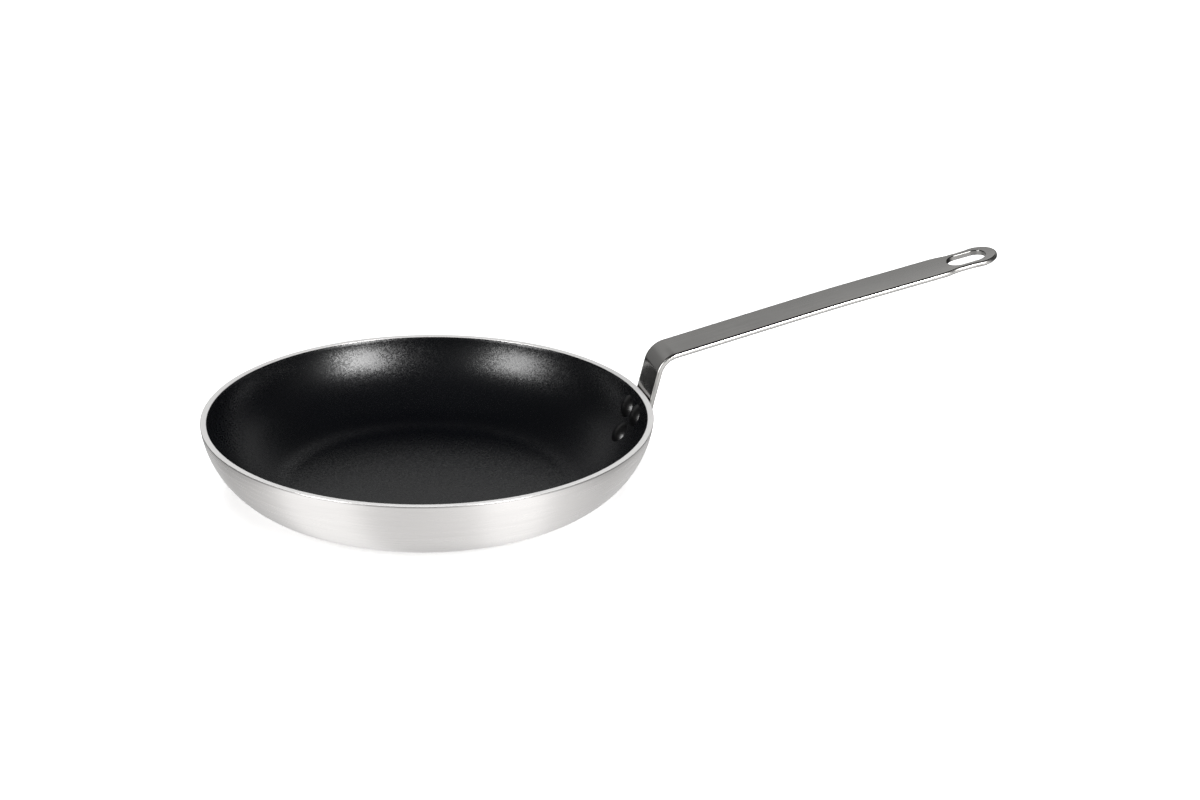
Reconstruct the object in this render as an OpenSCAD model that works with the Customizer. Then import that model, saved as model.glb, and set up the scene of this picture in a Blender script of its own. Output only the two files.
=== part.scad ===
// Professional non-stick omelette pan, 26 cm: a pressed aluminium pan with a curved wall,
// a black coating inside, and a flat steel bar handle held by three solid rivets.
// The origin is the centre of the base's underside, +Z is up and the handle runs along +X.

/* [Pan] */
// Outside diameter at the rim
rim_d = 260; // [200:1:320]
// Height of the rim above the table
depth = 45.3; // [40:0.1:49]
// How far the curved wall reaches outwards from the flat base
wall_reach = 51.5; // [50:0.5:60]
// Thickness of the aluminium
metal_t = 3.5; // [2.5:0.1:4.5]
// Thickness of the coating, thicker than the real one so that it is a solid
coat_t = 0.3; // [0.2:0.05:0.5]
// Bevel cut along the inner edge of the rim
rim_inner_bevel = 0.5; // [0.3:0.1:1]
// Bevel cut along the outer edge of the rim
rim_outer_bevel = 0.4; // [0.2:0.1:1]

/* [Handle] */
// Width of the flat bar
bar_w = 25.4; // [22:0.1:30]
// Thickness of the flat bar
bar_t = 3.2; // [2.5:0.1:4]
// Radius on the bar's long edges
bar_edge_r = 1.2; // [0.5:0.1:1.4]
// Slope of the riser where it leaves the wall, in degrees from level
riser_slope = 75.2; // [72:0.1:79]
// Height of the straight riser above the rim
riser_h = 15.8; // [12:0.1:25]
// Radius of the bend, on the upper face
bend_r = 14.6; // [8:0.1:20]
// Slope of the grip where it leaves the bend, in degrees
grip_slope = 11.2; // [5:0.1:20]
// How much the grip bends down at its middle, in degrees
grip_arch = 1.3; // [0.5:0.1:3]
// Length of the grip from the bend to its tip
grip_len = 204.7; // [150:0.1:240]
// Diameter of the rounded tip
tip_d = 23.8; // [22.6:0.1:25]
// Width of the slight neck behind the tip
neck_w = 22.2; // [20:0.1:23.4]
// Distance from the tip to the neck's inner end
neck_start = 25.5; // [23:0.5:30]
// Radius of the curves into and out of the neck
neck_curve_r = 24; // [12:1:30]
// Length of the hanging slot
slot_len = 23.6; // [18:0.1:30]
// Width of the hanging slot
slot_w = 14.4; // [10:0.1:16]
// Metal left between the slot and the tip
slot_margin = 6.9; // [4:0.1:10]
// Radius of the pad's lobes round each rivet
pad_lobe_r = 9; // [8:0.1:11]
// Radius of the fillets where the bar widens to the pad
pad_fillet_r = 6; // [3:0.5:8]

/* [Rivets] */
// Diameter of the shank
shank_d = 6; // [5:0.1:7]
// Diameter of the domed head inside the pan
head_d = 14.2; // [12:0.1:14.4]
// Height of the domed head with its coating
head_h = 2.9; // [2:0.1:3.5]
// Diameter of the closed end outside
tail_d = 10.4; // [9:0.1:12]
// Height of the closed end
tail_h = 2.3; // [1.5:0.1:3]
// Distance between the two upper rivets, on the inner wall
upper_pitch = 15.1; // [14.6:0.1:17]
// Distance of the upper rivets below the rim, along the inner wall
upper_drop = 11.6; // [11:0.1:13]
// Distance of the lower rivet below the rim, along the inner wall
lower_drop = 26; // [25:0.1:28]

/* [Hidden] */
$fn = 120;
eps = 0.01;
// How far a cutting shape runs past what it cuts
through = 10;

// The wall is one arc that starts level at the edge of the base and ends at the rim.
base_r = rim_d / 2 - wall_reach;
arc_r = (wall_reach * wall_reach + depth * depth) / (2 * depth);
wall_t = metal_t + coat_t;
inner_arc_r = arc_r - wall_t;

// A wall angle is counted from level, downwards round the arc's centre.
function arc_angle(length, radius) = length / radius * 180 / PI;
inner_rim_angle = asin((arc_r - depth) / inner_arc_r);
upper_angle = inner_rim_angle + arc_angle(upper_drop, inner_arc_r);
lower_angle = inner_rim_angle + arc_angle(lower_drop, inner_arc_r);
upper_wall_r = base_r + inner_arc_r * cos(upper_angle);
upper_turn = asin(upper_pitch / 2 / upper_wall_r);

// The riser leaves the wall where the wall has the riser's own slope.
leave_angle = 90 - riser_slope;
leave_x = base_r + arc_r * cos(leave_angle);
leave_z = arc_r - arc_r * sin(leave_angle);
riser_len = (depth + riser_h - leave_z) / sin(riser_slope);
bend_turn = riser_slope - grip_slope;
// The grip is straight but for a long, slight bend at its middle.
grip_arch_r = 1500;
grip_run = (grip_len - grip_arch_r * grip_arch * PI / 180) / 2;
// A straight run is drawn a hair slimmer than the bends, so that it ends inside them.
run_draw = 0.02;
run_overlap = 0.3;
// Below the riser's foot the bar's root curves into the pad more tightly than the wall does.
root_r = 20;
root_turn = 26;
// How far the pad's neck runs up the riser
neck_rise = 2;

// The pad's outline is drawn on a plane square to the wall at the middle of the rivets.
pad_angle = (upper_angle + lower_angle) / 2;
pad_mid_r = arc_r + bar_t / 2;
pad_upper_x = pad_mid_r * sin(upper_angle - pad_angle);
pad_upper_y = (base_r + pad_mid_r * cos(upper_angle)) * sin(upper_turn);
pad_lower_x = pad_mid_r * sin(lower_angle - pad_angle);
pad_top_x = pad_mid_r * sin(leave_angle - pad_angle) - neck_rise;

// Half of a pan's section, grown outwards by grow, from its base up to the height top
module bowl_section(grow, top) {
    translate([0, -grow]) square([base_r, top + grow]);
    intersection() {
        translate([base_r, arc_r]) circle(r = arc_r + grow, $fn = 240);
        translate([base_r - eps, -grow]) square([2 * arc_r, min(top, arc_r) + grow]);
    }
    if (top > arc_r) translate([0, arc_r]) square([base_r + arc_r + grow, top - arc_r]);
}

module bowl(grow, top) {
    rotate_extrude($fn = 240) bowl_section(grow, top);
}

// The rim's two bevels, as the section that the lathe cuts away
module rim_cut_section() {
    inner_x = base_r + sqrt(pow(inner_arc_r, 2) - pow(arc_r - depth + rim_inner_bevel, 2));
    outer_x = base_r + sqrt(pow(arc_r, 2) - pow(arc_r - depth, 2));
    inner_top = rim_inner_bevel + eps;
    translate([inner_x, depth - rim_inner_bevel])
        polygon([[-through, 0], [0, 0], [inner_top, inner_top], [-through, inner_top]]);
    translate([outer_x, depth]) polygon([
        [-rim_outer_bevel, eps], [through, eps], [through, -rim_outer_bevel - through], [0, -rim_outer_bevel]]);
}

// Local Z points straight out of the wall, counted from the arc's centre; local X runs down it
module on_wall(angle, turn) {
    rotate([0, 0, turn]) translate([base_r, 0, arc_r]) rotate([0, 90 + angle, 0]) children();
}

module at_left() { on_wall(upper_angle, upper_turn) children(); }
module at_right() { on_wall(upper_angle, -upper_turn) children(); }
module at_lower() { on_wall(lower_angle, 0) children(); }

module rivet_hole() {
    translate([0, 0, inner_arc_r - through]) cylinder(d = shank_d, h = wall_t + bar_t + 2 * through);
}

module rivet_holes() {
    at_left() rivet_hole();
    at_right() rivet_hole();
    at_lower() rivet_hole();
}

module pan_body() {
    color("silver") difference() {
        rotate_extrude($fn = 240) difference() {
            bowl_section(0, depth);
            bowl_section(-metal_t, depth + through);
            rim_cut_section();
        }
        rivet_holes();
    }
}

module nonstick_coating() {
    color([0.11, 0.11, 0.12]) difference() {
        rotate_extrude($fn = 240) difference() {
            bowl_section(-metal_t, depth);
            bowl_section(-wall_t, depth + through);
            rim_cut_section();
        }
        rivet_holes();
    }
}

// The flat bar's section: its width along X, its upper face at Y = 0, drawn in by less all round
module bar_section(less) {
    half_w = bar_w / 2 - less;
    top = -less;
    bottom = -bar_t + less;
    translate([-half_w + bar_edge_r, bottom]) square([2 * (half_w - bar_edge_r), top - bottom]);
    translate([-half_w, bottom + bar_edge_r]) square([2 * half_w, top - bottom - 2 * bar_edge_r]);
    for (side = [-1, 1], y = [top - bar_edge_r, bottom + bar_edge_r])
        translate([side * (half_w - bar_edge_r), y]) circle(r = bar_edge_r, $fn = 24);
}

// A straight length of the bar along X. Its ends run on inside the bends that it meets.
module bar_run(length) {
    translate([-run_overlap, 0, 0]) rotate([90, 0, 90])
        linear_extrude(length + 2 * run_overlap) bar_section(run_draw);
}

// The bar bent down about its upper face's radius
module bar_bend_down(radius, turn) {
    translate([0, 0, -radius]) rotate([0, -90, -90])
        rotate_extrude(angle = turn) translate([radius, 0]) rotate(-90) bar_section(0);
}

// The bar's root, behind the point where it leaves the wall, curving in under the pad
module bar_root() {
    translate([0, 0, root_r]) rotate([0, 90, -90])
        rotate_extrude(angle = -root_turn) translate([root_r, 0]) rotate(90) bar_section(0);
}

module after_bend(radius, turn) {
    translate([radius * sin(turn), 0, -radius * (1 - cos(turn))]) rotate([0, turn, 0]) children();
}

module at_riser() {
    translate([leave_x, 0, leave_z]) rotate([0, -riser_slope, 0]) children();
}

module at_bend() {
    at_riser() translate([riser_len, 0, 0]) children();
}

module at_grip() {
    at_bend() after_bend(bend_r, bend_turn) children();
}

module at_arch() {
    at_grip() translate([grip_run, 0, 0]) children();
}

module at_outer_grip() {
    at_arch() after_bend(grip_arch_r, grip_arch) children();
}

module at_tip() {
    at_outer_grip() translate([grip_run, 0, 0]) children();
}

// Plan of what is cut away round the tip, which is at X = 0: the neck's curves, then a round end
module tip_waste() {
    round_x = -tip_d / 2;
    curve_y = neck_w / 2 + neck_curve_r;
    reach = tip_d / 2 + neck_curve_r;
    curve = [round_x - sqrt(pow(reach, 2) - pow(curve_y, 2)), curve_y];
    touch = [round_x, 0] + (curve - [round_x, 0]) * tip_d / 2 / reach;
    translate([0, 0, -bar_t - through]) linear_extrude(bar_t + 2 * through) {
        difference() {
            translate([-neck_start, -bar_w]) square([through + neck_start, 2 * bar_w]);
            translate([-neck_start - 1, -neck_w / 2]) square([neck_start + 1 + round_x, neck_w]);
            translate([round_x, 0]) circle(d = tip_d);
            for (side = [0, 1]) mirror([0, side]) difference() {
                polygon([[curve[0], neck_w / 2], curve, touch, [round_x, 0]]);
                translate(curve) circle(r = neck_curve_r);
            }
        }
        for (side = [-1, 1]) translate([-neck_start, side * curve_y]) circle(r = neck_curve_r);
    }
}

module hanging_slot() {
    radius = slot_w / 2;
    outer_x = -slot_margin - radius;
    inner_x = -slot_margin - slot_len + radius;
    translate([0, 0, -bar_t - through]) linear_extrude(bar_t + 2 * through) {
        translate([outer_x, 0]) circle(r = radius);
        translate([inner_x, 0]) circle(r = radius);
        translate([inner_x, -radius]) square([outer_x - inner_x, slot_w]);
    }
}

module bar() {
    difference() {
        union() {
            at_riser() bar_root();
            at_riser() bar_run(riser_len);
            at_bend() bar_bend_down(bend_r, bend_turn);
            at_grip() bar_run(grip_run);
            at_arch() bar_bend_down(grip_arch_r, grip_arch);
            at_outer_grip() bar_run(grip_run);
        }
        at_tip() tip_waste();
        at_tip() hanging_slot();
        bowl(0, depth);
    }
}

// One side of the pad's outline: the straight edge between two lobes, from centre a to centre b.
// It stays a hair inside the lobes' common tangent, so that it meets each of them at a clear corner.
module lobe_edge(a, b) {
    along = (b - a) / norm(b - a);
    out = [along[1], -along[0]] * (pad_lobe_r - eps);
    polygon([a, b, b + out, a + out]);
}

// Fillet between the neck and a lobe: centre on one side, tangent to the bar's edge and the lobe
module neck_fillet(side) {
    centre_y = bar_w / 2 + pad_fillet_r;
    centre_x = pad_upper_x - sqrt(pow(pad_lobe_r + pad_fillet_r, 2) - pow(centre_y - pad_upper_y, 2));
    lobe = [pad_upper_x, pad_upper_y];
    centre = [centre_x, centre_y];
    touch = lobe + (centre - lobe) * pad_lobe_r / (pad_lobe_r + pad_fillet_r);
    mirror([0, side > 0 ? 0 : 1]) difference() {
        polygon([[centre_x, bar_w / 2], centre, touch, lobe]);
        translate(centre) circle(r = pad_fillet_r);
    }
}

// Plan of the pad: three lobes round the rivets, narrowing to the bar's width at the neck
module pad_outline() {
    left = [pad_upper_x, pad_upper_y];
    right = [pad_upper_x, -pad_upper_y];
    lower = [pad_lower_x, 0];
    for (centre = [left, right, lower]) translate(centre) circle(r = pad_lobe_r);
    polygon([left, right, lower]);
    lobe_edge(lower, left);
    lobe_edge(right, lower);
    translate([pad_top_x, -bar_w / 2]) square([pad_upper_x - pad_top_x, bar_w]);
    neck_fillet(1);
    neck_fillet(-1);
}

// The pad is pressed to the wall's own curve
module pad() {
    intersection() {
        difference() {
            bowl(bar_t, depth);
            bowl(0, depth + through);
        }
        on_wall(pad_angle, 0) linear_extrude(arc_r + bar_t + through) pad_outline();
    }
}

module handle() {
    color([0.56, 0.56, 0.55]) difference() {
        union() {
            bar();
            pad();
        }
        rivet_holes();
    }
}

// The head's dome, its top head_h inside the wall, shrunk all round by less
module head_dome(less) {
    radius = head_d / 2;
    dome_r = (radius * radius + head_h * head_h) / (2 * head_h);
    rotate_extrude($fn = 96) intersection() {
        translate([0, inner_arc_r - head_h + dome_r]) circle(r = dome_r - less);
        translate([0, inner_arc_r - head_h]) square([radius - less, head_h + wall_t]);
    }
}

module tail_dome() {
    radius = tail_d / 2;
    dome_r = (radius * radius + tail_h * tail_h) / (2 * tail_h);
    face_z = arc_r + bar_t;
    rotate_extrude($fn = 96) intersection() {
        translate([0, face_z + tail_h - dome_r]) circle(r = dome_r);
        translate([0, face_z - bar_t / 2]) square([radius, bar_t / 2 + tail_h]);
    }
}

// Each rivet's place: 0 is the left one, 1 the right one and 2 the lower one
module at_rivet(place) {
    if (place == 0) at_left() children();
    if (place == 1) at_right() children();
    if (place == 2) at_lower() children();
}

// A solid rivet: domed head inside, shank through the wall and the pad, closed end outside
module rivet(place) {
    color("gainsboro") union() {
        intersection() {
            at_rivet(place) head_dome(coat_t);
            bowl(-wall_t, depth + through);
        }
        at_rivet(place) translate([0, 0, inner_arc_r - head_h / 2])
            cylinder(d = shank_d, h = head_h / 2 + wall_t + bar_t + tail_h / 2);
        difference() {
            at_rivet(place) tail_dome();
            bowl(bar_t, depth + through);
        }
    }
}

// The black coating on a rivet's head
module rivet_coat(place) {
    color([0.13, 0.13, 0.14]) intersection() {
        difference() {
            at_rivet(place) head_dome(0);
            at_rivet(place) head_dome(coat_t);
        }
        bowl(-wall_t, depth + through);
    }
}

pan_body();
nonstick_coating();
handle();
rivet(0);  // rivet_left
rivet(1);  // rivet_right
rivet(2);  // rivet_lower
rivet_coat(0);  // rivet_coat_left
rivet_coat(1);  // rivet_coat_right
rivet_coat(2);  // rivet_coat_lower
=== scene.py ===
# An omelette pan: a turned aluminium pan with a black non-stick inside, a bent steel bar
# handle, and three solid rivets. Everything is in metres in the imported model's own frame.
import math

import bmesh
import bpy
from mathutils import Matrix, Vector


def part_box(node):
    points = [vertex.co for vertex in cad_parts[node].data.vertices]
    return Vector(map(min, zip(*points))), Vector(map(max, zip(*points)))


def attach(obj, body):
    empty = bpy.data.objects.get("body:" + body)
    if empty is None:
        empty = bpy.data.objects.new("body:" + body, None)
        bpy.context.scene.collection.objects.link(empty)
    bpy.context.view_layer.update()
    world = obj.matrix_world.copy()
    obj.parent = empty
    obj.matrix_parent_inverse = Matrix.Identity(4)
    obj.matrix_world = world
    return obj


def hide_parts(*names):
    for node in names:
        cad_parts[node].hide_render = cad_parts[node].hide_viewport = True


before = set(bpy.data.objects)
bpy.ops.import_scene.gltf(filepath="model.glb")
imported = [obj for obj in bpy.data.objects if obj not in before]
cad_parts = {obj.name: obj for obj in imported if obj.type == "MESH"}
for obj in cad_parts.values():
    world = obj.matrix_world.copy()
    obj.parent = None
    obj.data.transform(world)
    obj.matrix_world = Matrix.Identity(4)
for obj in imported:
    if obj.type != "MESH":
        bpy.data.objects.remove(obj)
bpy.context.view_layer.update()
scene = bpy.context.scene


# The pan is an aluminium blank pressed to a flat base and one curved wall, then turned on a
# lathe, which leaves fine rings all over its outside. Its rim is faced flat and its edges are
# broken. Three holes are drilled through the wall for the handle's rivets.

mm = 0.001
rim_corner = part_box("pan_body")[1]
rim_radius = rim_corner.x
pan_depth = rim_corner.z
wall_reach = 51.5 * mm
metal_thickness = 3.5 * mm
coat_thickness = 0.3 * mm
base_radius = rim_radius - wall_reach
wall_radius = (wall_reach**2 + pan_depth**2) / (2 * pan_depth)
inner_wall_radius = wall_radius - metal_thickness - coat_thickness
outer_chamfer = 0.4 * mm
inner_chamfer = 0.5 * mm
edge_break = 0.12 * mm
lathe_steps = 288

# The coating ends on the rim's inner chamfer, this far below the rim.
coat_stop = 0.28 * mm

# Edges above this height belong to the rim.
rim_from = 40 * mm

# The rivets' places are measured down the inner wall from the rim, and across it.
upper_rivets_below_rim = 11.6 * mm
lower_rivet_below_rim = 26.0 * mm
upper_rivets_apart = 15.1 * mm
shank_radius = 3 * mm


def draw_arc(bm, start, centre, turn, steps):
    """Draws an arc on from a vertex, about centre, in the plane Z = 0. Returns its end."""
    made = bmesh.ops.spin(bm, geom=[start], cent=centre, axis=(0, 0, 1), angle=turn, steps=steps)
    return next(v for v in made["geom_last"] if isinstance(v, bmesh.types.BMVert))


def draw_line(bm, start, end, steps=1):
    """Draws a straight line on from a vertex to a point. Returns its end."""
    step = (Vector(end) - start.co) / steps
    for _ in range(steps):
        made = bmesh.ops.extrude_vert_indiv(bm, verts=[start])
        start = made["verts"][0]
        start.co += step
    return start


def draw_floor_and_wall(radius, floor, top):
    """Draws a section's line along a floor and up a wall to a height. Returns it and its end."""
    bm = bmesh.new()
    edge = draw_line(bm, bm.verts.new((0, floor, 0)), (base_radius, floor, 0), 6)
    rise = math.pi / 2 - math.asin((wall_radius - top) / radius)
    return bm, draw_arc(bm, edge, (base_radius, wall_radius, 0), rise, 44)


def draw_metal_inside(bm, rim):
    """Draws the section's line down the metal's inner wall and in along its floor."""
    lip = draw_line(bm, rim, coat_edge)
    foot = draw_arc(bm, lip, (base_radius, wall_radius, 0), coat_edge_rise - math.pi / 2, 40)
    draw_line(bm, foot, (0, metal_thickness, 0), 5)


def turn_on_lathe(bm):
    """Spins a section drawn in X, the radius, and Y, the height, into a closed solid."""
    bmesh.ops.rotate(bm, verts=bm.verts, matrix=Matrix.Rotation(math.pi / 2, 3, "X"))
    bmesh.ops.spin(
        bm, geom=bm.verts[:] + bm.edges[:], cent=(0, 0, 0), axis=(0, 0, 1), angle=2 * math.pi,
        steps=lathe_steps, use_merge=True)
    bmesh.ops.remove_doubles(bm, verts=bm.verts, dist=1e-7)
    bmesh.ops.recalc_face_normals(bm, faces=bm.faces)


def round_edges(bm, edges, radius, segments):
    """Rounds edges, or breaks them when the radius is small."""
    bmesh.ops.bevel(
        bm, geom=edges, offset=radius, affect="EDGES", segments=segments, profile=0.5, material=-1,
        clamp_overlap=False)


def make_piece(name, bm, material):
    """Puts a finished mesh in the scene as a smooth-shaded piece with one material."""
    mesh = bpy.data.meshes.new(name)
    bm.to_mesh(mesh)
    bm.free()
    mesh.shade_smooth()
    mesh.materials.append(material)
    piece = bpy.data.objects.new(name, mesh)
    scene.collection.objects.link(piece)
    return piece


def rivet_axis(angle, turn):
    """A rivet's axis: the point where it meets the wall's arc centre, and its way out."""
    swing = Matrix.Rotation(turn, 3, "Z")
    out = Vector((math.cos(angle), 0, -math.sin(angle)))
    return swing @ Vector((base_radius, 0, wall_radius)), swing @ out


def drill_and_finish(piece):
    """Drills the three rivet holes, and keeps flat faces flat beside their rounded edges."""
    for centre, out in rivet_axes:
        bm = bmesh.new()
        bmesh.ops.create_cone(
            bm, cap_ends=True, segments=48, radius1=shank_radius, radius2=shank_radius, depth=30 * mm)
        aim = out.to_track_quat("Z", "Y").to_matrix().to_4x4()
        place = Matrix.Translation(centre + out * wall_radius) @ aim
        bmesh.ops.transform(bm, matrix=place, verts=bm.verts)
        mesh = bpy.data.meshes.new("drill")
        bm.to_mesh(mesh)
        bm.free()
        bit = bpy.data.objects.new("drill", mesh)
        scene.collection.objects.link(bit)
        hole = piece.modifiers.new("drill", "BOOLEAN")
        hole.operation = "DIFFERENCE"
        hole.solver = "EXACT"
        hole.object = bit
        with bpy.context.temp_override(object=piece, active_object=piece):
            bpy.ops.object.modifier_apply(modifier="drill")
        bpy.data.objects.remove(bit)
    weighted = piece.modifiers.new("flat faces stay flat", "WEIGHTED_NORMAL")
    weighted.weight = 100
    weighted.keep_sharp = True


def node_adder(tree):
    """A call that adds a node to a tree, with its settings and what feeds its sockets."""

    def add(kind, feeds=(), **settings):
        node = tree.nodes.new("ShaderNode" + kind)
        for key, value in settings.items():
            setattr(node, key, value)
        for socket, value in dict(feeds).items():
            if isinstance(value, bpy.types.NodeSocket):
                tree.links.new(value, node.inputs[socket])
            else:
                node.inputs[socket].default_value = value
        return node

    return add


def new_material(name):
    """A material without nodes, and a call that adds them."""
    material = bpy.data.materials.new(name)
    material.use_nodes = True
    material.node_tree.nodes.clear()
    return material, node_adder(material.node_tree)


def finish_material(add, **sockets):
    """Closes a material with its shader. Spaces in a socket's name are written as _."""
    shader = add("BsdfPrincipled", {name.replace("_", " "): value for name, value in sockets.items()})
    add("OutputMaterial", {"Surface": shader.outputs["BSDF"]})


def reckon(add, operation, *numbers):
    """Works out a number from others."""
    return add("Math", dict(enumerate(numbers)), operation=operation).outputs[0]


def scale_by(add, vector, factor):
    """A vector or a colour times a number."""
    return add("VectorMath", {0: vector, "Scale": factor}, operation="SCALE").outputs["Vector"]


def apart(add, vector):
    """The three numbers of a vector."""
    return add("SeparateXYZ", {0: vector}).outputs


def spread(add, value, start, end, low=0.0, high=1.0):
    """Turns a value between start and end into one between low and high, and holds it beyond."""
    return add("MapRange", {
        "Value": value, "From Min": start, "From Max": end, "To Min": low, "To Max": high}).outputs[0]


def mix_numbers(add, factor, first, second):
    """A number that goes from the first to the second with the factor."""
    return add("Mix", {"Factor": factor, 2: first, 3: second}, data_type="FLOAT").outputs[0]


def mix_colours(add, factor, first, second, blend="MIX"):
    """A colour that goes from the first to the second with the factor, or blends them."""
    feeds = {"Factor": factor, 6: first, 7: second}
    return add("Mix", feeds, data_type="RGBA", blend_type=blend).outputs[2]


def mix_tints(add, value, low, first, high, second):
    """Goes from the first tint at a low value to the second at a high one."""
    ramp = add("ValToRGB", {"Fac": value})
    for stop, at, tint in zip(ramp.color_ramp.elements, (low, high), (first, second)):
        stop.position = at
        stop.color = tint
    return ramp.outputs["Color"]


def noise(add, place, scale, detail, roughness=0.5, across=None):
    """Noise over a place, or over a place and one more number, which runs across the rings."""
    feeds = {"Vector": place, "Scale": scale, "Detail": detail, "Roughness": roughness}
    if across is None:
        return add("TexNoise", feeds).outputs["Fac"]
    return add("TexNoise", feeds | {"W": across}, noise_dimensions="4D").outputs["Fac"]


def make_turned_aluminium():
    """Aluminium with lathe rings, a painted shadow line along the wall's top millimetre below the rim, and
    the duller faced rim.
    """
    material, add = new_material("turned_aluminium")
    place = add("TexCoord").outputs["Object"]
    x, y, height = apart(add, place)
    flat = add("CombineXYZ", {0: x, 1: y}).outputs[0]
    radius = add("VectorMath", {0: flat}, operation="LENGTH").outputs["Value"]
    round_it = scale_by(add, add("VectorMath", {0: flat}, operation="NORMALIZE").outputs["Vector"], 4.0)
    across = reckon(add, "ADD", radius, height)
    fine = noise(add, round_it, 1.0, 3.0, 0.7, reckon(add, "MULTIPLY", across, 2400.0))
    broad = noise(add, round_it, 0.8, 2.0, 0.6, reckon(add, "MULTIPLY", across, 420.0))
    rings = mix_numbers(add, 0.4, fine, broad)
    tint = mix_tints(add, rings, 0.3, (0.80, 0.782, 0.77, 1), 0.72, (0.915, 0.895, 0.88, 1))
    faced = spread(add, height, pan_depth - 0.3 * mm, pan_depth - 0.1 * mm)
    # Painted shade: the colour is darkened along the wall's top millimetre, a shadow line below the rim.
    step = spread(add, height, pan_depth - 1.2 * mm, pan_depth - 0.95 * mm, 1.0, 0.68)
    roughness = spread(add, rings, 0.3, 0.7, 0.34, 0.24)
    grooves = add("Bump", {"Height": rings, "Strength": 0.12, "Distance": 0.0002})
    finish_material(
        add,
        Base_Color=mix_colours(add, faced, scale_by(add, tint, step), (0.56, 0.555, 0.55, 1)),
        Metallic=spread(add, faced, 0.0, 1.0, 1.0, 0.3),
        Roughness=mix_numbers(add, faced, roughness, 0.5),
        Anisotropic=0.55,
        Anisotropic_Rotation=0.25,
        Normal=grooves.outputs["Normal"],
        Tangent=add("Tangent", direction_type="RADIAL", axis="Z").outputs["Tangent"])
    return material


rim_rise = math.asin((wall_radius - pan_depth) / inner_wall_radius)
upper_angle = rim_rise + upper_rivets_below_rim / inner_wall_radius
lower_angle = rim_rise + lower_rivet_below_rim / inner_wall_radius
upper_head_radius = base_radius + inner_wall_radius * math.cos(upper_angle)
upper_turn = math.asin(upper_rivets_apart / 2 / upper_head_radius)
rivet_axes = [
    rivet_axis(upper_angle, upper_turn), rivet_axis(upper_angle, -upper_turn), rivet_axis(lower_angle, 0)]

metal_inner_radius = wall_radius - metal_thickness
coat_edge_rise = math.asin((wall_radius - pan_depth + coat_stop) / metal_inner_radius)
coat_edge = Vector((base_radius, wall_radius, 0)) + metal_inner_radius * Vector(
    (math.cos(coat_edge_rise), -math.sin(coat_edge_rise), 0))
lip_radius = base_radius + math.sqrt(inner_wall_radius**2 - (wall_radius - pan_depth + inner_chamfer) ** 2)

bm, rim = draw_floor_and_wall(wall_radius, 0, pan_depth - outer_chamfer)
rim = draw_line(bm, rim, (rim_radius - outer_chamfer, pan_depth, 0))
rim = draw_line(bm, rim, (lip_radius + inner_chamfer, pan_depth, 0), 3)
draw_metal_inside(bm, rim)
turn_on_lathe(bm)
rim_edges = [
    e for e in bm.edges
    if e.is_manifold and e.calc_face_angle() > math.radians(20) and e.verts[0].co.z > rim_from]
round_edges(bm, rim_edges, edge_break, 3)
pan = make_piece("pan", bm, make_turned_aluminium())
drill_and_finish(pan)
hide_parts("pan_body")
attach(pan, "root")


# The coating is black non-stick, sprayed on the whole inside up to the broken inner edge of
# the rim, then baked. It is satin, with a fine sparkle of mineral flakes, each of which lies
# a little askew.


def make_black_coating():
    """Near-black enamel whose flakes tilt the light by a few degrees."""
    material, add = new_material("black_coating")
    place = add("TexCoord").outputs["Object"]
    flake = add("TexVoronoi", {"Vector": place, "Scale": 1700.0}, feature="F1").outputs["Color"]
    tilt = add("VectorMath", {0: flake, 1: (0.5, 0.5, 0.5)}, operation="SUBTRACT").outputs["Vector"]
    tilt = scale_by(add, tilt, 0.075)
    tilted = add("VectorMath", {0: add("NewGeometry").outputs["Normal"], 1: tilt}, operation="ADD")
    cloud = noise(add, place, 30.0, 2.0)
    finish_material(
        add,
        Base_Color=mix_colours(add, cloud, (0.0009, 0.0011, 0.0016, 1), (0.0016, 0.0018, 0.0024, 1)),
        Roughness=spread(add, apart(add, flake)["X"], 0.0, 1.0, 0.23, 0.31),
        Specular_IOR_Level=0.5,
        Normal=add("VectorMath", {0: tilted.outputs["Vector"]}, operation="NORMALIZE").outputs["Vector"])
    return material


floor_height = metal_thickness + coat_thickness
bm, rim = draw_floor_and_wall(inner_wall_radius, floor_height, pan_depth - inner_chamfer)
draw_metal_inside(bm, rim)
turn_on_lathe(bm)
coating = make_piece("coating", bm, make_black_coating())
drill_and_finish(coating)
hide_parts("nonstick_coating")
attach(coating, "root")


# The handle is one flat steel bar. Its foot is pressed to the wall as a three-lobed pad, and
# the bar leaves the wall on the wall's own slope, bends out to the grip, arches slightly, and
# ends in a half round tip with a hanging slot. Its edges are rounded, its faces finely ground.

bar_width = 25.4 * mm
bar_thickness = 3.2 * mm
bar_edge_round = 1.3 * mm
slot_edge_round = 0.5 * mm
grip_crown = 0.1 * mm
riser_slope = math.radians(75.2)
grip_slope = math.radians(11.2)
bend_above_rim = 15.8 * mm
bend_radius = 14.6 * mm
grip_length = 204.7 * mm
grip_arch = math.radians(1.3)
arch_radius = 1.5
pad_lobe = 8.8 * mm
pad_fillet = 6 * mm
pad_wrap_end = 5 * mm
pad_wrap_run = 12 * mm
crown_run = 20 * mm
neck_half_width = 11.1 * mm
neck_curve = 24 * mm
neck_from_end = 25.5 * mm
tip_radius = 11.9 * mm
slot_radius = 7.2 * mm
slot_length = 23.6 * mm
slot_margin = 6.9 * mm
pad_strip = 1.6 * mm

# Along the pan's X, the bend starts at the riser's top, the bar starts to narrow to its neck,
# and the slot starts.
bend_x = 138 * mm
neck_x = 294 * mm
slot_x = 310 * mm

# The dressed bar is a hair smaller all round than the solid, so it stays inside the solid's box.
hair = 0.02 * mm

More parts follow.
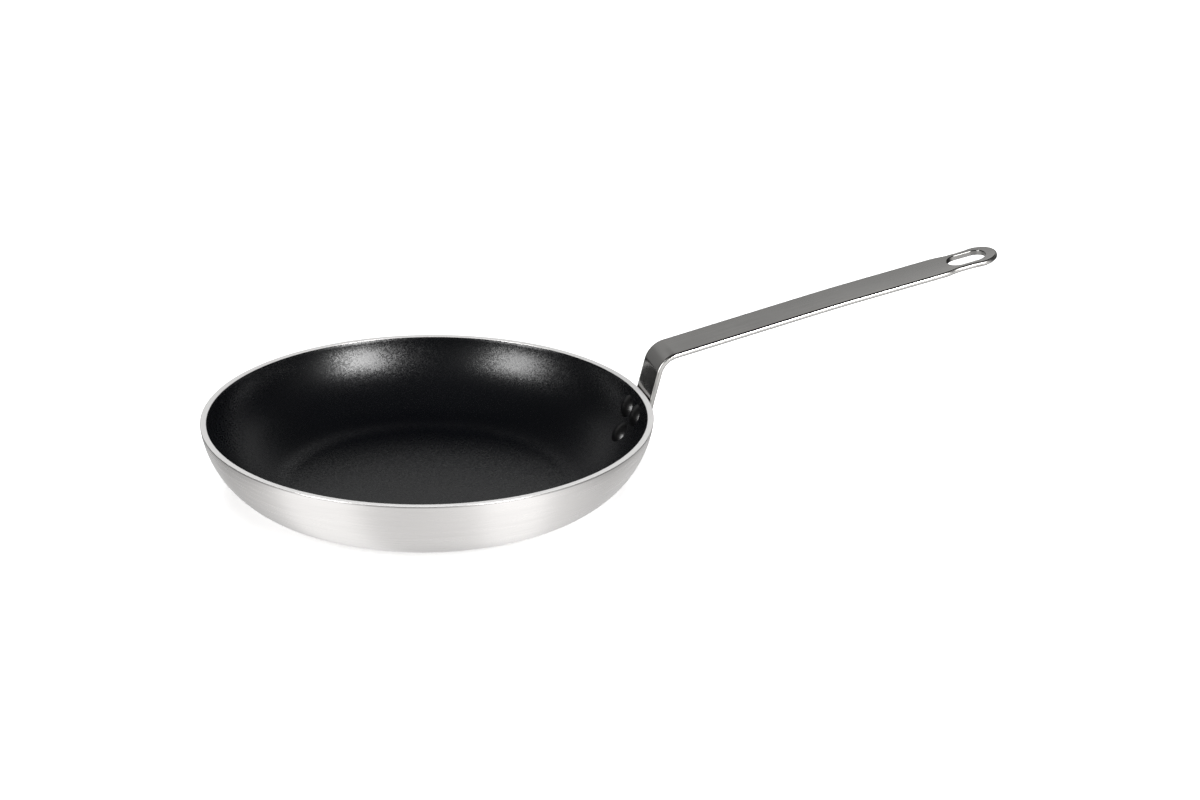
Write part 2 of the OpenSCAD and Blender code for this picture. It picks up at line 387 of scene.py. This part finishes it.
leave_angle = math.pi / 2 - riser_slope
leave = Vector((
    base_radius + wall_radius * math.cos(leave_angle), 0, wall_radius * (1 - math.sin(leave_angle))))
riser_length = (pan_depth + bend_above_rim - leave.z) / math.sin(riser_slope)
bend_length = bend_radius * (riser_slope - grip_slope)
arch_length = arch_radius * grip_arch
grip_run = (grip_length - arch_length) / 2
bar_length = riser_length + bend_length + grip_length
tip_centre = Vector((bar_length - tip_radius, 0, 0))
slot_outer = Vector((bar_length - slot_margin - slot_radius, 0, 0))
slot_inner = Vector((bar_length - slot_margin - slot_length + slot_radius, 0, 0))
bar_runs = (
    (riser_length, 0), (bend_length, bend_radius), (grip_run, 0), (arch_length, arch_radius), (grip_run, 0))


def bar_line(along):
    """The bar's upper face at a length along it from where it leaves the wall: point, slope."""
    if along < 0:
        angle = leave_angle - along / wall_radius
        out = Vector((math.cos(angle), 0, -math.sin(angle)))
        return Vector((base_radius, 0, wall_radius)) + out * wall_radius, math.pi / 2 - angle
    at, slope = leave.copy(), riser_slope
    for length, radius in bar_runs:
        run = min(along, length)
        if radius:
            turned = slope - run / radius
            at += radius * Vector(
                (math.sin(slope) - math.sin(turned), 0, math.cos(turned) - math.cos(slope)))
            slope = turned
        else:
            at += run * Vector((math.cos(slope), 0, math.sin(slope)))
        along -= run
        if along <= 0:
            break
    return at, slope


def press_bar(point):
    """Takes a point of the flat blank (along, across, up) to its place on the bent handle."""
    along, across, up = point
    at, slope = bar_line(along)
    up -= grip_crown * (across / (bar_width / 2)) ** 2 * min(max(along / crown_run, 0), 1)
    at += Vector((-math.sin(slope), 0, math.cos(slope))) * up
    flat = at + Vector((0, across, 0))
    wrap = min(max((pad_wrap_end - along) / pad_wrap_run, 0), 1)
    wrap = wrap * wrap * (3 - 2 * wrap)
    turn = across / at.x
    round_wall = Vector((at.x * math.cos(turn), at.x * math.sin(turn), at.z))
    return flat.lerp(round_wall, wrap)


def draw_half_plan(bm):
    """Draws the blank's half plan: the pad's lobes, the side, the neck, the tip and the slot."""
    side = bar_width / 2 - hair
    upper_height = (base_radius + wall_radius * math.cos(upper_angle)) * upper_turn
    upper = Vector((-(upper_angle - leave_angle) * wall_radius, upper_height, 0))
    lower = Vector((-(lower_angle - leave_angle) * wall_radius, 0, 0))
    flank = (upper - lower).normalized()
    flank_turn = math.atan2(flank.x, -flank.y)
    fillet_y = side + pad_fillet
    fillet_reach = math.sqrt((pad_lobe + pad_fillet) ** 2 - (fillet_y - upper.y) ** 2)
    fillet = Vector((upper.x + fillet_reach, fillet_y, 0))
    lobe_turn = math.atan2(fillet.y - upper.y, fillet.x - upper.x)
    curve_y = neck_half_width + neck_curve
    neck_reach = math.sqrt((tip_radius + neck_curve) ** 2 - curve_y**2)
    neck_out = Vector((tip_centre.x - neck_reach, curve_y, 0))
    neck_in = Vector((bar_length - neck_from_end, curve_y, 0))
    shoulder_turn = math.acos(1 - (side - neck_half_width) / (2 * neck_curve))
    shoulder = Vector((neck_in.x - 2 * neck_curve * math.sin(shoulder_turn), side - neck_curve, 0))
    meet_turn = math.atan2(neck_reach, curve_y)

    first = bm.verts.new(lower - Vector((pad_lobe, 0, 0)))
    v = draw_arc(bm, first, lower, flank_turn - math.pi, 14)
    v = draw_line(bm, v, v.co + upper - lower, 8)
    v = draw_arc(bm, v, upper, lobe_turn - flank_turn, 14)
    v = draw_arc(bm, v, fillet, math.pi / 2 - lobe_turn, 8)
    v = draw_line(bm, v, shoulder + Vector((0, neck_curve, 0)))
    v = draw_arc(bm, v, shoulder, -shoulder_turn, 10)
    v = draw_arc(bm, v, neck_in, shoulder_turn, 10)
    v = draw_line(bm, v, (neck_out.x, neck_half_width, 0))
    v = draw_arc(bm, v, neck_out, meet_turn, 8)
    v = draw_arc(bm, v, tip_centre, -math.pi / 2 - meet_turn, 30)
    v = draw_line(bm, v, slot_outer + Vector((slot_radius, 0, 0)))
    v = draw_arc(bm, v, slot_outer, math.pi / 2, 18)
    v = draw_line(bm, v, slot_inner + Vector((0, slot_radius, 0)))
    v = draw_arc(bm, v, slot_inner, math.pi / 2, 18)
    bm.edges.new((v, first))
    return first.co.x


def in_slot(vert):
    """Whether a corner of the blank lies on the slot's wall."""
    from_middle = abs(vert.co.x - (slot_inner.x + slot_outer.x) / 2)
    return abs(vert.co.y) < slot_radius + hair and from_middle < slot_length / 2 + hair


def round_blank(bm):
    """Rounds the blank's outer edges, and breaks the slot's."""
    for inside, radius, segments in ((False, bar_edge_round, 8), (True, slot_edge_round, 4)):
        edges = [
            e for e in bm.edges
            if e.calc_face_angle() > 1 and abs(e.verts[0].co.z - e.verts[1].co.z) < 1e-7
            and all(in_slot(v) for v in e.verts) == inside]
        round_edges(bm, edges, radius, segments)


def cut_strips(bm, places, normal):
    """Cuts the blank across at the given places, so that it can bend there."""
    for at in places:
        bmesh.ops.bisect_plane(
            bm, geom=bm.verts[:] + bm.edges[:] + bm.faces[:], dist=1e-6,
            plane_co=Vector(normal) * at, plane_no=normal)


def make_polished_steel():
    """Steel with long grain. Painted shade darkens its colour on faces turned down, on the slot's
    wall and in cloudy patches below the bend. Its flank is ground rougher at the bend and at the tip."""
    material, add = new_material("polished_steel")
    place = add("TexCoord").outputs["Object"]
    along, aside, _ = apart(add, place)
    _, sideways, facing_up = apart(add, add("NewGeometry").outputs["Normal"])
    grain_place = add("Mapping", {"Vector": place, "Scale": (14.0, 2600.0, 60.0)}).outputs[0]
    grain = noise(add, grain_place, 1.0, 4.0, 0.65)
    cloud = noise(add, place, 45.0, 3.0, 0.55)
    both = mix_numbers(add, 0.35, grain, cloud)
    tint = mix_tints(add, both, 0.3, (0.48, 0.473, 0.459, 1), 0.7, (0.58, 0.571, 0.554, 1))

    # Painted shade: the colour is darkened on faces turned down, on the slot's wall, and in cloudy patches
    # on the rising part below the bend.
    painted_shade_underneath = spread(add, facing_up, -0.42, -0.2, 0.24, 1.0)
    between_slot_walls = spread(add, reckon(add, "ABSOLUTE", aside), 8.3 * mm, 7.9 * mm)
    past_slot_start = spread(add, along, slot_x, slot_x + 2 * mm)
    slot_wall = reckon(add, "MULTIPLY", between_slot_walls, past_slot_start)
    slot_wall = reckon(add, "MULTIPLY", slot_wall, spread(add, facing_up, 0.9, 0.6))
    painted_shade_on_riser = reckon(add, "MULTIPLY", spread(add, along, bend_x, bend_x - 5 * mm), cloud)
    painted_shade_slot_and_riser = reckon(add, "MAXIMUM", slot_wall, painted_shade_on_riser)
    shade = reckon(add, "MULTIPLY", reckon(add, "MULTIPLY_ADD", painted_shade_slot_and_riser, -0.5, 1.0), painted_shade_underneath)

    flank = spread(add, reckon(add, "ABSOLUTE", sideways), 0.3, 0.6)
    near_bend = spread(add, along, bend_x + 7 * mm, bend_x)
    near_tip = spread(add, along, neck_x, neck_x + 12 * mm, 0.0, 0.7)
    ground = reckon(add, "MAXIMUM", near_bend, reckon(add, "SUBTRACT", near_tip, slot_wall))
    polish = spread(add, both, 0.3, 0.7, 0.17, 0.11)
    relief = add("Bump", {"Height": grain, "Strength": 0.05, "Distance": 0.0001})
    finish_material(
        add,
        Base_Color=scale_by(add, tint, shade),
        Metallic=1.0,
        Roughness=mix_numbers(add, reckon(add, "MULTIPLY", flank, ground), polish, 0.38),
        Normal=relief.outputs["Normal"])
    return material


bm = bmesh.new()
pad_foot = draw_half_plan(bm)
bmesh.ops.contextual_create(bm, geom=bm.edges[:])
bmesh.ops.mirror(bm, geom=bm.verts[:] + bm.edges[:] + bm.faces[:], axis="Y", merge_dist=1e-6)
made = bmesh.ops.extrude_face_region(bm, geom=bm.faces[:], use_keep_orig=True)
under_face = [v for v in made["geom"] if isinstance(v, bmesh.types.BMVert)]
bmesh.ops.translate(bm, verts=under_face, vec=(0, 0, -bar_thickness + 2 * hair))
bmesh.ops.translate(bm, verts=bm.verts, vec=(0, 0, -hair))
bmesh.ops.recalc_face_normals(bm, faces=bm.faces)
round_blank(bm)

pad_strips = int((riser_length - pad_foot) / pad_strip)
grip_start = riser_length + bend_length
arch_start = grip_start + grip_run
arch_end = arch_start + arch_length
stations = [pad_foot + pad_strip * k for k in range(1, pad_strips)]
stations += [riser_length + bend_length * k / 36 for k in range(37)]
stations += [grip_start + grip_run * k / 8 for k in range(1, 8)]
stations += [arch_start + arch_length * k / 16 for k in range(17)]
stations += [arch_end + grip_run * k / 8 for k in range(1, 6)]
stations += [slot_inner.x, slot_outer.x, tip_centre.x]
cut_strips(bm, stations, (1, 0, 0))
cut_strips(bm, [side * at * mm for at in (2, 4, 6, 8, 10) for side in (1, -1)], (0, 1, 0))
for v in bm.verts:
    v.co = press_bar(v.co)
bmesh.ops.recalc_face_normals(bm, faces=bm.faces)
handle = make_piece("bar_handle", bm, make_polished_steel())
drill_and_finish(handle)
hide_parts("handle")
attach(handle, "root")


# The three rivets are solid aluminium, with a domed head inside the pan, closed by upsetting
# the shank over the pad. Their heads carry the same black as the pan, but glossier. They keep
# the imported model's own meshes.


def make_rivet_aluminium():
    """Bare aluminium with the small dents that upsetting leaves."""
    material, add = new_material("rivet_aluminium")
    dent = noise(add, add("TexCoord").outputs["Object"], 700.0, 3.0, 0.6)
    relief = add("Bump", {"Height": dent, "Strength": 0.2, "Distance": 0.0001})
    finish_material(
        add,
        Base_Color=mix_colours(add, dent, (0.74, 0.74, 0.745, 1), (0.88, 0.88, 0.88, 1)),
        Metallic=1.0,
        Roughness=spread(add, dent, 0.3, 0.7, 0.42, 0.28),
        Normal=relief.outputs["Normal"])
    return material


def make_gloss_black():
    """Glossy black coating, slightly pebbled."""
    material, add = new_material("gloss_black_coat")
    pebble = noise(add, add("TexCoord").outputs["Object"], 500.0, 2.0)
    relief = add("Bump", {"Height": pebble, "Strength": 0.008, "Distance": 0.0001})
    finish_material(
        add,
        Base_Color=mix_colours(add, pebble, (0.002, 0.002, 0.0022, 1), (0.004, 0.004, 0.0042, 1)),
        Roughness=spread(add, pebble, 0.3, 0.7, 0.27, 0.31),
        Specular_IOR_Level=0.5,
        Normal=relief.outputs["Normal"])
    return material


rivet_aluminium = make_rivet_aluminium()
gloss_black = make_gloss_black()
for side in ("left", "right", "lower"):
    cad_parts["rivet_" + side].material_slots[0].material = rivet_aluminium
    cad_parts["rivet_coat_" + side].material_slots[0].material = gloss_black


# The studio has a pale floor, soft light from above, and two softboxes beside the camera. What
# the metal and the coating mirror is a world of greys: bright low down, and dark higher up,
# with a paler band behind the pan.

view_turn = math.radians(17.5)
view_drop = math.radians(22.127)


def from_camera_side(right, away, up):
    """A point given to the camera's right, away from it and up from the rim's centre."""
    swing = Matrix.Rotation(-view_turn, 3, "Z")
    return swing @ Vector((right, away, 0)) + Vector((0, 0, pan_depth + up))


def add_softbox(name, azimuth, elevation, distance, width, height, power, shows_in_gloss=True):
    """A rectangular light that faces the pan. Azimuth is counted from the camera's side."""
    turn, rise = math.radians(azimuth), math.radians(elevation)
    level = distance * math.cos(rise)
    place = from_camera_side(level * math.sin(turn), -level * math.cos(turn), distance * math.sin(rise))
    lamp = bpy.data.lights.new(name, "AREA")
    lamp.shape = "RECTANGLE"
    lamp.size, lamp.size_y = width, height
    lamp.energy = power
    light = bpy.data.objects.new(name, lamp)
    light.location = place
    aim = Vector((0, 0, pan_depth)) - place
    light.rotation_euler = aim.to_track_quat("-Z", "Y").to_euler()
    light.visible_glossy = shows_in_gloss
    scene.collection.objects.link(light)


def greys(add, value, low, high, stops):
    """Greys over a value between low and high, from pairs of the value and its grey."""
    ramp = add("ValToRGB", {"Fac": spread(add, value, low, high)})
    elements = ramp.color_ramp.elements
    for number, (at, grey) in enumerate(stops):
        stop = elements[number] if number < 2 else elements.new(1.0)
        stop.position = (at - low) / (high - low)
        stop.color = (grey, grey, grey, 1)
    return ramp.outputs[0]


def greys_round(add, angle, stops):
    """Greys over an angle to the left and right of the camera's side, in degrees."""
    in_radians = [(math.radians(at), grey) for at, grey in stops]
    return greys(add, angle, math.radians(-90), math.radians(90), in_radians)


def soft_step(add, value, start, end):
    """Goes from 0 to 1 between two values, smoothly."""
    feeds = {"Value": value, "From Min": start, "From Max": end}
    return add("MapRange", feeds, interpolation_type="SMOOTHSTEP").outputs[0]


def light_room(add):
    """Works out the grey in each direction. The low light's grey is given by how a surface must
    be turned to mirror it to the camera: its turn to the side, and its slope up."""
    seen = add("TexCoord").outputs["Generated"]
    turned = add("Mapping", {"Vector": seen, "Rotation": (0, 0, view_turn)}).outputs[0]
    right, away, up = apart(add, turned)
    toward = reckon(add, "SUBTRACT", math.cos(view_drop), away)
    raised = reckon(add, "ADD", up, math.sin(view_drop))
    angle = reckon(add, "ARCTAN2", right, toward)
    between = add("CombineXYZ", {0: right, 1: toward, 2: raised}).outputs[0]
    between = add("VectorMath", {0: between}, operation="NORMALIZE").outputs["Vector"]
    slope = apart(add, between)["Z"]

    low_light = greys_round(add, angle, [
        (-90, 0.9), (-74, 0.72), (-62, 0.5), (-50, 0.6), (-42, 0.74), (-37, 1.05), (-29, 1.06),
        (-19, 1.06), (-14, 0.77), (-5, 0.73), (5, 0.77), (13, 0.85), (17, 1.1), (30, 1.12),
        (35, 0.82), (42, 0.72), (52, 0.6), (64, 0.66), (90, 0.75)])
    near_edge = greys(add, slope, -1.0, 0.1, [
        (-1.0, 1.0), (-0.9, 0.95), (-0.85, 0.82), (-0.78, 0.85), (-0.7, 1.0), (-0.05, 1.0),
        (0.0, 1.2), (0.1, 1.2)])
    far_edge = greys(add, slope, -0.2, 0.1, [(-0.2, 1.0), (-0.14, 1.0), (-0.06, 0.08), (0.1, 0.08)])
    aside = greys_round(add, angle, [
        (-90, 1.0), (-52, 1.0), (-38, 0.0), (36, 0.0), (50, 1.0), (90, 1.0)])
    edges = mix_colours(add, aside, near_edge, far_edge)
    low_light = mix_colours(add, 1.0, low_light, edges, "MULTIPLY")

    behind = greys(add, up, -1.0, 1.0, [
        (-1.0, 0.3), (-0.4, 0.04), (-0.12, 0.04), (-0.08, 0.22), (0.3, 0.24), (0.36, 0.32),
        (0.47, 0.4), (0.53, 0.18), (0.62, 0.06), (0.82, 0.02), (1.0, 0.005)])
    middle = greys(add, right, -1.0, 1.0, [(-0.16, 0.0), (-0.04, 1.0), (0.04, 1.0), (0.16, 0.0)])
    patch = greys(add, up, -1.0, 1.0, [(0.45, 0.0), (0.53, 0.6), (0.6, 0.8), (0.68, 0.5), (0.78, 0.0)])
    behind = mix_colours(add, 1.0, behind, mix_colours(add, 1.0, patch, middle, "MULTIPLY"), "ADD")
    front = greys(add, up, -1.0, 1.0, [
        (-1.0, 0.8), (-0.3, 0.3), (-0.12, 0.08), (0.0, 0.03), (0.6, 0.04), (0.8, 0.03), (1.0, 0.04)])
    past_top = reckon(add, "MULTIPLY_ADD", up, -0.22, away)
    level = add("CombineXYZ", {0: right, 1: past_top}).outputs[0]
    level = add("VectorMath", {0: level}, operation="NORMALIZE").outputs["Vector"]
    is_behind = soft_step(add, apart(add, level)["Y"], 0.25, 0.65)
    room = mix_colours(add, is_behind, front, behind)
    return mix_colours(add, soft_step(add, slope, 0.1, 0.17), low_light, room)


def make_floor_paper():
    """White paper that glows a little, and more so far from the pan, so that it stays even."""
    material, add = new_material("floor")
    place = add("TexCoord").outputs["Object"]
    cloud = noise(add, place, 3.0, 2.0)
    far_off = add("VectorMath", {0: place}, operation="LENGTH").outputs["Value"]
    finish_material(
        add,
        Base_Color=mix_colours(add, cloud, (0.90, 0.90, 0.90, 1), (0.91, 0.91, 0.91, 1)),
        Roughness=0.9,
        Specular_IOR_Level=0.0,
        Emission_Color=(1, 1, 1, 1),
        Emission_Strength=spread(add, far_off, 0.4, 2.4, 0.3, 1.0))
    material.cycles.emission_sampling = "NONE"
    return material


lens = bpy.data.cameras.new("camera")
lens.lens = 156
lens.sensor_width = 36
lens.clip_end = 50
camera = bpy.data.objects.new("camera", lens)
camera.location = from_camera_side(0.09905, -2.75597, 1.13126)
camera.rotation_euler = (math.pi / 2 - view_drop, 0, -view_turn)
scene.collection.objects.link(camera)
scene.camera = camera

add_softbox("softbox left", -49.5, 20, 1.6, 0.62, 0.8, 20)
add_softbox("softbox right", 38.5, 20, 1.6, 0.57, 0.8, 28)
add_softbox("overhead", 0, 88, 2.2, 2.2, 2.2, 62, shows_in_gloss=False)

world = bpy.data.worlds.new("studio")
world.use_nodes = True
world.node_tree.nodes.clear()
scene.world = world
add_to_world = node_adder(world.node_tree)
glow = add_to_world("Background", {"Color": light_room(add_to_world), "Strength": 1.0})
add_to_world("OutputWorld", {"Surface": glow.outputs[0]})

bm = bmesh.new()
bmesh.ops.create_grid(bm, x_segments=1, y_segments=1, size=6)
bmesh.ops.translate(bm, verts=bm.verts, vec=(0, 0, -0.02 * mm))
floor = make_piece("floor", bm, make_floor_paper())
floor.visible_glossy = False

scene.view_settings.view_transform = "Standard"
